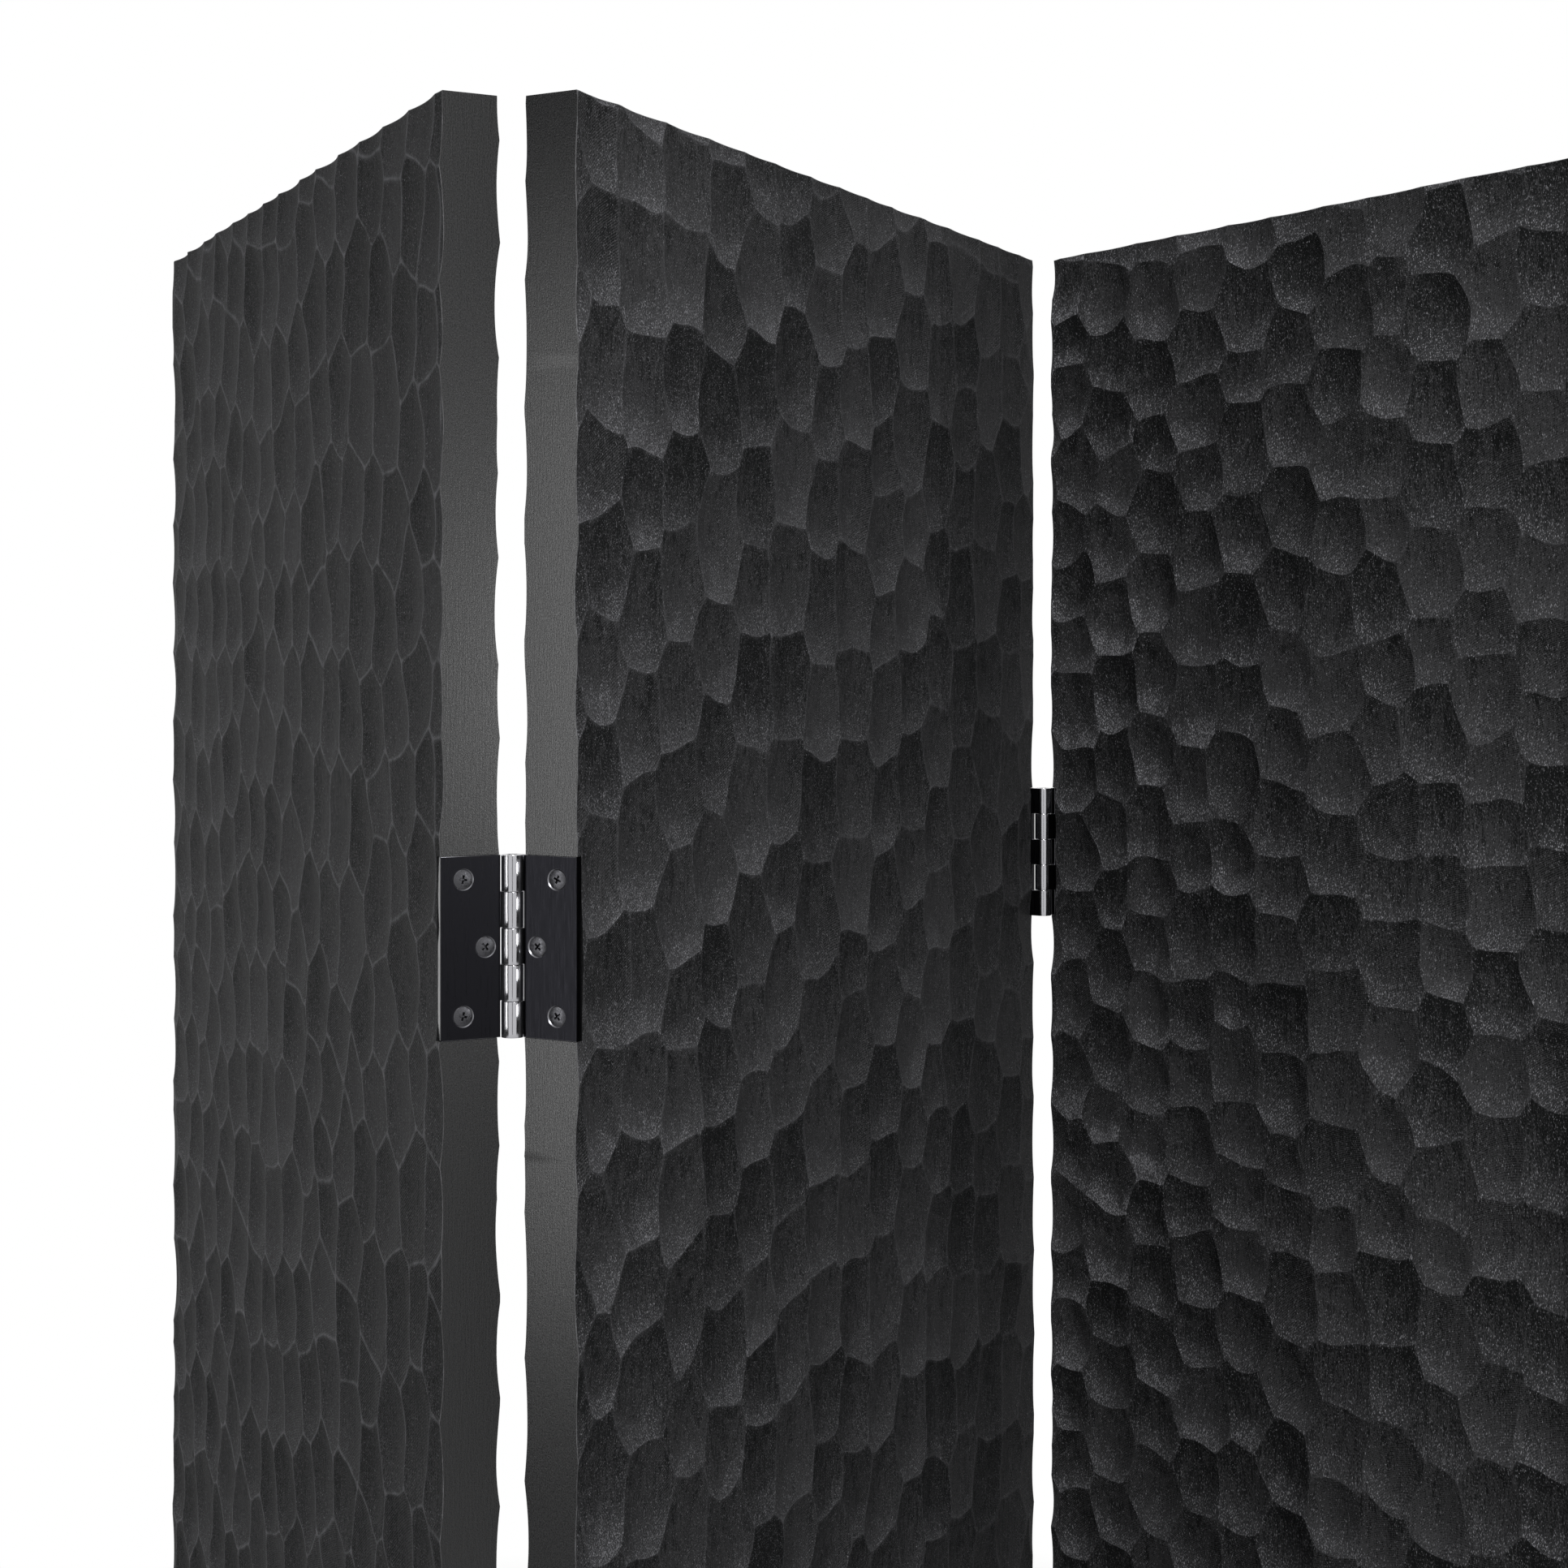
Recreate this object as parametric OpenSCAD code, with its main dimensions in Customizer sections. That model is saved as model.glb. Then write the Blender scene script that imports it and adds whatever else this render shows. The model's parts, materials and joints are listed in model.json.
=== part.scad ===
// Folding room divider: three panels of edge-glued boards that stand in a zigzag,
// joined by two lines of butt hinges let into the end faces.
// Millimetres, +Z up. The origin is the center of the center panel's bottom face,
// +X runs along the center panel and its front face looks towards -Y.

/* [Panels] */
// Width of each panel, from end face to end face
panel_w = 508; // [490:1:600]
// Height of each panel
panel_h = 1829; // [1500:1:2100]
// Thickness of each panel, over the ridges of its carved faces
panel_t = 27; // [22:0.1:32]
// Angle between the back faces of the left and center panels as they stand
left_fold = 54; // [30:1:120]
// Angle between the front faces of the center and right panels as they stand
right_fold = 61.6; // [30:0.1:120]

/* [Boards] */
// Width of the first board of a panel, counted from its left end face
board_1_w = 92; // [70:1:105]
// Width of the second board
board_2_w = 84; // [60:1:100]
// Width of the third board, a narrow strip
board_3_w = 37; // [30:1:50]
// Width of the fourth board; the fifth takes what is left of the panel
board_4_w = 158; // [120:1:170]

/* [Hinges] */
// Length of a hinge, over its leaves and its barrel
hinge_l = 76.2; // [60:0.1:90]
// Thickness of a leaf, and of its metal where it is rolled round the pin
leaf_t = 2.1; // [1.6:0.1:2.6]
// Distance from the outer edge of a leaf to the panel face that lies away from the barrel
leaf_inset = 1; // [0:0.1:2]
// Number of knuckles in the barrel, odd so that the center leaf holds both ends
knuckle_count = 5; // [3:2:7]
// Gap along the pin between neighbouring knuckles
knuckle_gap = 0.2; // [0.1:0.05:0.5]
// Diameter of the hinge pin
pin_d = 5.3; // [4.5:0.1:6.5]
// Radial clearance between the pin and the knuckles
pin_gap = 0.05; // [0.02:0.01:0.1]
// Distance from the pin's center line to the end face of each panel
pin_end_gap = 1; // [0.6:0.1:2]
// Gap between the barrel and the plane of the panel faces beside it
barrel_face_gap = 0.2; // [0.2:0.05:1]
// Distance from a panel's top and bottom to the middle of the nearest hinge
hinge_end_in = 355; // [150:0.5:450]
// Clearance above and below a leaf in its mortise
mortise_gap = 0.2; // [0.1:0.05:0.5]

/* [Screws] */
// Diameter of the countersunk screw heads
screw_head_d = 8.4; // [7.4:0.1:9]
// Diameter of the screw shanks
screw_d = 4.2; // [3.5:0.1:5]
// Length of a screw, from the top of its head to its tip
screw_l = 25; // [18:1:40]
// Length of the pointed tip
screw_tip_l = 6; // [3:0.5:9]
// Depth of a screw head below the face of its leaf
screw_sink = 0.3; // [0.1:0.05:0.4]
// Clearance round a screw in its countersink and its pilot hole
screw_gap = 0.1; // [0.05:0.05:0.2]
// Room left in the pilot hole past the tip
pilot_spare = 1; // [0.5:0.5:3]
// Distance from the ends of a leaf to its outer screws
screw_end_in = 9.7; // [8:0.1:14]
// Distance from the outer edge of a leaf to its outer screws
screw_far_in = 9.7; // [7:0.1:12]
// Distance from the panel face beside the barrel to the middle screw
screw_near_in = 6.6; // [5.6:0.1:8]
// Width of the arms of the cross recess
recess_w = 1.2; // [0.8:0.1:1.6]
// Span of the cross recess
recess_span = 4.4; // [3.6:0.1:4.8]
// Depth of the cross recess
recess_depth = 1.5; // [1:0.1:1.6]

/* [Hidden] */
PANELS = ["left", "center", "right"];
LINES = ["left", "right"];
PLACES = ["top", "middle", "bottom"];
PIECES = ["side_leaf", "center_leaf", "pin", "side_screws", "center_screws"];
BOARDS = [1:5];

$fn = 64;
wood_color = [0.17, 0.17, 0.175];
leaf_color = [0.24, 0.24, 0.26];
pin_color = [0.75, 0.75, 0.76];
screw_color = [0.30, 0.30, 0.30];

// Overrun of a cutting shape past the face that it cuts
cut = 1;

// Left edge of each board, and the panel's right end face
board_x = [
    0,
    board_1_w,
    board_1_w + board_2_w,
    board_1_w + board_2_w + board_3_w,
    board_1_w + board_2_w + board_3_w + board_4_w,
    panel_w
];

bore_r = pin_d / 2 + pin_gap;
barrel_r = bore_r + leaf_t;
leaf_w = panel_t - leaf_inset;
// Distance from the pin's center line to the plane of the panel faces beside it
pin_face_gap = barrel_r + barrel_face_gap;
// Distance from a panel's middle plane to the pin
pin_y = panel_t / 2 + pin_face_gap;
// Height of the middle of the top, middle and bottom hinges
hinge_z = [panel_h - hinge_end_in, panel_h / 2, hinge_end_in];
knuckle_pitch = hinge_l / knuckle_count;
center_rows = [0:2:knuckle_count - 1];
side_rows = [1:2:knuckle_count - 2];

// Screws of one leaf in the hinge's frame, as [y, z]
screw_far_y = -(pin_face_gap + leaf_w - screw_far_in);
screw_near_y = -(pin_face_gap + screw_near_in);
screw_end_z = hinge_l / 2 - screw_end_in;
screw_spots = [[screw_far_y, screw_end_z], [screw_near_y, 0], [screw_far_y, -screw_end_z]];
screw_head_h = (screw_head_d - screw_d) / 2;

// Panel frames
// A panel's own frame has x from its left end face, y = 0 at its middle plane and
// z = 0 at its bottom, with the front face towards -y.

module place_center() {
    translate([-panel_w / 2, 0, 0])
        children();
}

module place_left() {
    translate([-panel_w / 2 - pin_end_gap, pin_y, 0])
        rotate([0, 0, 180 + left_fold])
            translate([-panel_w - pin_end_gap, -pin_y, 0])
                children();
}

module place_right() {
    translate([panel_w / 2 + pin_end_gap, -pin_y, 0])
        rotate([0, 0, 180 + right_fold])
            translate([pin_end_gap, pin_y, 0])
                children();
}

module place_panel(panel) {
    if (panel == "left") place_left() children();
    if (panel == "center") place_center() children();
    if (panel == "right") place_right() children();
}

// Hinge frames
// A hinge's own frame has the pin on z, its middle at the origin, the end face of
// the wood at x = pin_end_gap and the wood's near face at y = -pin_face_gap.
// The left hinge line has its pins behind the panels, the right one in front.

module at_center_hinge(line, z) {
    if (line == "left")
        translate([-pin_end_gap, pin_y, z]) children();
    if (line == "right")
        translate([panel_w + pin_end_gap, -pin_y, z]) rotate([0, 0, 180]) children();
}

module at_side_hinge(line, z) {
    if (line == "left")
        translate([panel_w + pin_end_gap, pin_y, z]) mirror([1, 0, 0]) children();
    if (line == "right")
        translate([-pin_end_gap, -pin_y, z]) mirror([0, 1, 0]) children();
}

// Screw along +x with the top of its head at x = 0
module screw() {
    difference() {
        rotate([0, 90, 0]) {
            cylinder(h = screw_head_h, r1 = screw_head_d / 2, r2 = screw_d / 2);
            translate([0, 0, screw_head_h])
                cylinder(h = screw_l - screw_head_h - screw_tip_l, d = screw_d);
            translate([0, 0, screw_l - screw_tip_l])
                cylinder(h = screw_tip_l, r1 = screw_d / 2, r2 = 0);
        }
        for (turn = [0, 90])
            rotate([turn, 0, 0])
                translate([-cut, -recess_w / 2, -recess_span / 2])
                    cube([recess_depth + cut, recess_w, recess_span]);
    }
}

// Countersink and pilot hole for one screw, with the leaf's face at x = 0
module screw_space() {
    rim_r = screw_head_d / 2 + screw_sink + screw_gap;
    hole_r = screw_d / 2 + screw_gap;
    rotate([0, 90, 0]) {
        translate([0, 0, -cut])
            cylinder(h = cut, r = rim_r);
        cylinder(h = rim_r - hole_r, r1 = rim_r, r2 = hole_r);
        cylinder(h = screw_sink + screw_l + pilot_spare, r = hole_r);
    }
}

module at_screws() {
    for (spot = screw_spots)
        translate([pin_end_gap, spot[0], spot[1]])
            children();
}

// One knuckle and the neck that joins it to its leaf, before the bore is cut
module knuckle(row) {
    low = -hinge_l / 2 + row * knuckle_pitch + (row == 0 ? 0 : knuckle_gap / 2);
    high = -hinge_l / 2 + (row + 1) * knuckle_pitch
        - (row == knuckle_count - 1 ? 0 : knuckle_gap / 2);
    translate([0, 0, low])
        cylinder(h = high - low, r = barrel_r);
    translate([pin_end_gap, -pin_face_gap, low])
        cube([leaf_t, pin_face_gap, high - low]);
}

module leaf(rows) {
    difference() {
        union() {
            translate([pin_end_gap, -pin_face_gap - leaf_w, -hinge_l / 2])
                cube([leaf_t, leaf_w, hinge_l]);
            for (row = rows)
                knuckle(row);
        }
        translate([0, 0, -hinge_l / 2 - cut])
            cylinder(h = hinge_l + 2 * cut, r = bore_r);
        at_screws() screw_space();
    }
}

module pin() {
    translate([0, 0, -hinge_l / 2])
        cylinder(h = hinge_l, d = pin_d);
}

module leaf_screws() {
    at_screws()
        translate([screw_sink, 0, 0])
            screw();
}

// Mortise and pilot holes that one leaf needs in the wood
module hinge_space() {
    translate([pin_end_gap - cut, -pin_face_gap - panel_t - cut, -hinge_l / 2 - mortise_gap])
        cube([leaf_t + cut, panel_t + 2 * cut, hinge_l + 2 * mortise_gap]);
    at_screws() screw_space();
}

module panel_hinge_spaces(panel) {
    for (z = hinge_z) {
        if (panel == "left") at_side_hinge("left", z) hinge_space();
        if (panel == "right") at_side_hinge("right", z) hinge_space();
        if (panel == "center")
            for (line = LINES)
                at_center_hinge(line, z) hinge_space();
    }
}

module panel_board(panel, i) {
    color(wood_color)
        place_panel(panel)
            difference() {
                translate([board_x[i - 1], -panel_t / 2, 0])
                    cube([board_x[i] - board_x[i - 1], panel_t, panel_h]);
                panel_hinge_spaces(panel);
            }
}

module side_leaf(line, z) {
    color(leaf_color) place_panel(line) at_side_hinge(line, z) leaf(side_rows);
}

module center_leaf(line, z) {
    color(leaf_color) place_center() at_center_hinge(line, z) leaf(center_rows);
}

module hinge_pin(line, z) {
    color(pin_color) place_center() at_center_hinge(line, z) pin();
}

module side_screws(line, z) {
    color(screw_color) place_panel(line) at_side_hinge(line, z) leaf_screws();
}

module center_screws(line, z) {
    color(screw_color) place_center() at_center_hinge(line, z) leaf_screws();
}

function hinge_node(line, place, piece) = str(line, "_", PLACES[place], "_hinge_", piece);

for (panel = PANELS, i = BOARDS)
    panel_board(panel, i);

for (line = LINES, p = [0:2]) {
    z = hinge_z[p];
    side_leaf(line, z);
    center_leaf(line, z);
    hinge_pin(line, z);
    side_screws(line, z);
    center_screws(line, z);
}
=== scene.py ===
"""Carved folding room divider: three black-stained panels of gouged boards on mortised butt hinges."""

import json
import math
import random
from functools import partial

import bmesh
import bpy
import numpy as np
from mathutils import Matrix, Vector


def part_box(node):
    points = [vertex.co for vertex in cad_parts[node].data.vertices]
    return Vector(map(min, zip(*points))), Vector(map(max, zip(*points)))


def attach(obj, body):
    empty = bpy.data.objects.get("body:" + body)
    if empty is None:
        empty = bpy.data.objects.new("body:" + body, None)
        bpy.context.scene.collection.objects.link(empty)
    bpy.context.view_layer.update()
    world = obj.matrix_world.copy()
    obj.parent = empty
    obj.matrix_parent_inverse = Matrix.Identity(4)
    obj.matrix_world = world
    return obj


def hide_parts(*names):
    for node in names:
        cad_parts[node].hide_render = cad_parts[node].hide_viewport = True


bl_info = {
    "name": "Carved Folding Room Divider",
    "version": (1, 0, 0),
    "blender": (4, 5, 0),
    "location": "View3D > Sidebar > Room Divider",
    "description": "Dresses a packed three-panel folding screen with gouge-carved wood and butt hinges",
    "category": "Object",
}

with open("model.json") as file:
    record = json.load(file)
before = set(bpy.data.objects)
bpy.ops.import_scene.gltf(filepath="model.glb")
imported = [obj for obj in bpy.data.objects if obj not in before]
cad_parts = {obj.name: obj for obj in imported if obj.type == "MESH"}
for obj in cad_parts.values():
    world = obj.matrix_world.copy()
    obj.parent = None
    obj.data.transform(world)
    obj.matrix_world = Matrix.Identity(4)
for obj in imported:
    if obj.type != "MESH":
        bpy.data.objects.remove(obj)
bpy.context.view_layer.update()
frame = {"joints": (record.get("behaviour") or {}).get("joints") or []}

MM = 0.001

PANELS = ("left", "center", "right")
LINES = ("left", "right")
PLACES = ("top", "middle", "bottom")
BOARD_COUNT = 5

# Sizes of the panels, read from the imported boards
board_boxes = [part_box(f"center_panel_board_{i + 1}") for i in range(BOARD_COUNT)]
first_low, first_high = board_boxes[0]
PANEL_LEFT = first_low.x
PANEL_W = board_boxes[-1][1].x - PANEL_LEFT
PANEL_T = first_high.y - first_low.y
PANEL_H = first_high.z - first_low.z
BOARD_EDGES = [low.x - PANEL_LEFT for low, high in board_boxes] + [PANEL_W]

# Sizes of the hinges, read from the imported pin, leaf and screws of the top left hinge
pin_low, pin_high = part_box("left_top_hinge_pin")
leaf_low, leaf_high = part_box("left_top_hinge_center_leaf")
screws_low, screws_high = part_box("left_top_hinge_center_screws")
PIN_X = (pin_low.x + pin_high.x) / 2
PIN_Y = (pin_low.y + pin_high.y) / 2
PIN_R = (pin_high.x - pin_low.x) / 2
END_GAP = PANEL_LEFT - PIN_X
FACE_GAP = PIN_Y - PANEL_T / 2
BARREL_R = PIN_X - leaf_low.x
LEAF_T = leaf_high.x - PANEL_LEFT
LEAF_FAR = leaf_low.y - PIN_Y
HINGE_L = leaf_high.z - leaf_low.z
HINGE_Z = {}
for hinge in PLACES:
    low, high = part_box(f"left_{hinge}_hinge_pin")
    HINGE_Z[hinge] = (low.z + high.z) / 2
KNUCKLES = 5
KNUCKLE_GAP = 0.2 * MM
BORE_R = BARREL_R - LEAF_T
# Clearance above and below a leaf in its mortise
MORTISE_GAP = 0.2 * MM

# Screws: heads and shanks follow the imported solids, and a cross recess is cut in each head
HEAD_R = 4.2 * MM
SHANK_R = 2.1 * MM
SCREW_L = screws_high.x - screws_low.x
SCREW_SINK = screws_low.x - PANEL_LEFT
SCREW_TIP = 6 * MM
SCREW_GAP = 0.1 * MM
RECESS_W = 4.4 * MM
RECESS_SLOT = 1.15 * MM
RECESS_DEEP = 1.5 * MM
FAR_SCREW_Y = screws_low.y - PIN_Y + HEAD_R
NEAR_SCREW_Y = screws_high.y - PIN_Y - HEAD_R
END_SCREW_Z = (screws_high.z - screws_low.z) / 2 - HEAD_R
SCREW_SPOTS = ((FAR_SCREW_Y, END_SCREW_Z), (NEAR_SCREW_Y, 0.0), (FAR_SCREW_Y, -END_SCREW_Z))

# Fold angles at rest: each joint's lower limit is the panel folded flat
FOLD = {joint["name"].split("_")[0]: -joint["range_deg"][0] for joint in frame["joints"]}

# How each board took the stain, and how the year rings lean through it across and upwards
BOARD_TONES = (0.56, 0.57, 0.55, 0.70, 0.66)
BOARD_TEARS = (1.0, 0.8, 0.7, 0.6, 0.25)
BOARD_RINGS = ((-0.16, 0.20), (-0.17, 0.24), (-0.15, 0.21), (-0.10, 0.24), (-0.13, 0.19))
# How much each panel's ridges are lightened, as rubbed wear and painted highlight on the crests, and its cut
# ends, as lifted fibres and painted highlight
PANEL_RIDGE_WEAR_AND_HIGHLIGHT = {"left": 0.75, "center": 0.2, "right": 0.12}
PANEL_TEAR_AND_HIGHLIGHT = {"left": 0.45, "center": 0.75, "right": 1.0}
# Width, height for each unit of width, and sweep of each panel's cuts, beside the usual ones; how much
# shorter than an even cut each is below its deepest point; and how much their sweep varies
PANEL_CUTS = {
    "left": (1.16, 0.90, 0.92, 0.05, 0.30),
    "center": (1.16, 0.92, 1.00, 0.20, 0.42),
    "right": (1.16, 0.76, 0.70, 0.14, 0.44),
}
# How much each panel's cuts narrow towards their lower ends
PANEL_TAPER = {"left": 0.2, "center": 0.35, "right": 0.15}
# Sweep of the light cuts on the hard last board of the center panel, beside its other cuts
HARD_BOARD_SWEEP = 1.4
# How much lighter the stain is on each panel, or darker below 0: the right panel's darker stain is painted
# shade
PANEL_PAINTED_SHADE = {"left": 0.0, "center": 0.0, "right": -0.04}
# Size of the grain and flecks on each panel, beside the usual one
PANEL_GRAIN = {"left": 1.0, "center": 1.0, "right": 1.5}


def linear(colour):
    """An sRGB hex colour, such as 2b2b2c, as linear red, green, blue and alpha."""
    channels = [int(colour[i:i + 2], 16) / 255 for i in (0, 2, 4)]
    return [c / 12.92 if c <= 0.04045 else ((c + 0.055) / 1.055) ** 2.4 for c in channels] + [1.0]


def panel_place(panel):
    """Turns a panel's own frame (x from its left end, y = 0 in its middle, z up) into the row frame."""
    if panel == "center":
        return Matrix.Translation((PANEL_LEFT, 0, 0))
    turn = Matrix.Rotation(math.radians(180 + FOLD[panel]), 4, "Z")
    if panel == "left":
        to_pin = Matrix.Translation((-PANEL_W - END_GAP, -PIN_Y, 0))
        return Matrix.Translation((PIN_X, PIN_Y, 0)) @ turn @ to_pin
    to_pin = Matrix.Translation((END_GAP, PIN_Y, 0))
    return Matrix.Translation((-PIN_X, -PIN_Y, 0)) @ turn @ to_pin


def hinge_place(line, side, place):
    """Turns a hinge's own frame (pin on z, wood at +x and -y) into the row frame."""
    lift = Matrix.Translation((0, 0, HINGE_Z[place]))
    if side == "center":
        half_turn = Matrix.Identity(4) if line == "left" else Matrix.Rotation(math.pi, 4, "Z")
        sign = 1 if line == "left" else -1
        return Matrix.Translation((sign * PIN_X, sign * PIN_Y, 0)) @ lift @ half_turn
    if line == "left":
        at_end = Matrix.Translation((PANEL_W + END_GAP, PIN_Y, 0)) @ Matrix.Scale(-1, 4, (1, 0, 0))
    else:
        at_end = Matrix.Translation((-END_GAP, -PIN_Y, 0)) @ Matrix.Scale(-1, 4, (0, 1, 0))
    return panel_place(line) @ lift @ at_end


def add_piece(name, mesh, materials, body, nodes):
    """Links a finished mesh as a piece that rides on a body and stands for its CAD nodes."""
    piece = bpy.data.objects.new(name, mesh)
    bpy.context.scene.collection.objects.link(piece)
    for material in materials:
        mesh.materials.append(material)
    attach(piece, body)
    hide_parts(*nodes)
    return piece


def add_node(tree, kind, *values, named=None, output=None, **settings):
    """Adds a shader node and returns its named output, or else its first.

    Each value goes to the next input in use, and each named one to the input of that name; an output of
    another node is linked.
    """
    node = tree.nodes.new("ShaderNode" + kind)
    for name, value in settings.items():
        setattr(node, name, value)
    inputs = [socket for socket in node.inputs if socket.enabled]
    pairs = list(zip(inputs, values)) + [(node.inputs[name], value) for name, value in (named or {}).items()]
    for socket, value in pairs:
        if isinstance(value, bpy.types.NodeSocket):
            tree.links.new(value, socket)
        else:
            socket.default_value = value
    if output:
        return node.outputs[output]
    return next((socket for socket in node.outputs if socket.enabled), None)


def empty_tree(owner):
    """Gives a material or a world an empty node tree, and returns the function that fills it."""
    owner.use_nodes = True
    owner.node_tree.nodes.clear()
    return partial(add_node, owner.node_tree)


class DividerCarving(bpy.types.PropertyGroup):
    """Sizes of the gouge cuts in the panel faces."""

    cut_width: bpy.props.FloatProperty(
        name="Cut width", description="Width of a usual gouge cut, before each panel's own share",
        default=30 * MM, subtype="DISTANCE")
    cut_stretch: bpy.props.FloatProperty(
        name="Cut stretch", description="Height of a usual cut for each unit of its width", default=1.5)
    sweep: bpy.props.FloatProperty(
        name="Gouge sweep", description="Radius that a usual gouge leaves in the wood",
        default=105 * MM, subtype="DISTANCE")
    wander: bpy.props.FloatProperty(
        name="Ridge wander", description="How far the ridges wander from a smooth line",
        default=2.0 * MM, subtype="DISTANCE")
    ridge_drop: bpy.props.FloatProperty(
        name="Ridge drop", description="Depth at which a cut meets its neighbours",
        default=0.42 * MM, subtype="DISTANCE")
    mesh_step: bpy.props.FloatProperty(
        name="Mesh step", description="Size of the mesh squares on a carved face",
        default=3.6 * MM, subtype="DISTANCE")
    rim: bpy.props.FloatProperty(
        name="Eased edge", description="Width of the eased edge round a panel",
        default=0.32 * MM, subtype="DISTANCE")
    seed: bpy.props.IntProperty(
        name="Seed", description="Start of the random layout of the cuts", default=11)


class DividerWood(bpy.types.PropertyGroup):
    """Colours of the stained wood, as sRGB hex values."""

    stain: bpy.props.StringProperty(
        name="Stain", description="Colour of the stained carving", default="373738")
    # The dark end of the stain, also used for the painted shade at the top of each cut
    stain_dark: bpy.props.StringProperty(
        name="Dark stain", description="Colour where the stain has pooled", default="131414")
    # Also the colour of the painted highlights on ridge crests and at the lower ends of cuts
    worn: bpy.props.StringProperty(
        name="Worn wood", description="Colour of rubbed ridges and torn fibres", default="8f8f93")
    planed: bpy.props.StringProperty(
        name="Planed edge", description="Colour of the smooth end faces", default="141415")


class DividerMetal(bpy.types.PropertyGroup):
    """Colours of the hinges, as sRGB hex values."""

    black_nickel: bpy.props.StringProperty(
        name="Black nickel", description="Colour of the leaves", default="1b1b1e")
    polished: bpy.props.StringProperty(
        name="Polished nickel", description="Colour of the barrels", default="b4b4b8")
    worn: bpy.props.StringProperty(
        name="Worn edges", description="Colour of the leaves' worn edges", default="77777b")
    screw: bpy.props.StringProperty(
        name="Screws", description="Colour of the screw heads", default="48484b")


class DividerStudio(bpy.types.PropertyGroup):
    """Camera, floor and lights."""

    lens: bpy.props.FloatProperty(
        name="Lens", description="Focal length on a 36 mm wide sensor, in millimetres", default=54.986)
    heading: bpy.props.FloatProperty(
        name="Camera heading", description="How far the view is turned from facing the center panel",
        default=math.radians(62.419), subtype="ANGLE")
    below_top: bpy.props.FloatProperty(
        name="Camera below the top", description="How far the camera is below the panels' top",
        default=225.2 * MM, subtype="DISTANCE")
    pin_away: bpy.props.FloatProperty(
        name="Left pin away", description="Distance of the left hinge line in front of the camera",
        default=1001.7 * MM, subtype="DISTANCE")
    pin_aside: bpy.props.FloatProperty(
        name="Left pin aside", description="Distance of the left hinge line to the right of the view",
        default=-113.5 * MM, subtype="DISTANCE")
    shift_down: bpy.props.FloatProperty(
        name="Shift", description="Vertical lens shift that keeps the panels upright", default=-0.0949)
    floor: bpy.props.StringProperty(
        name="Floor", description="sRGB hex colour of the floor", default="e4e4e4")


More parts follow.
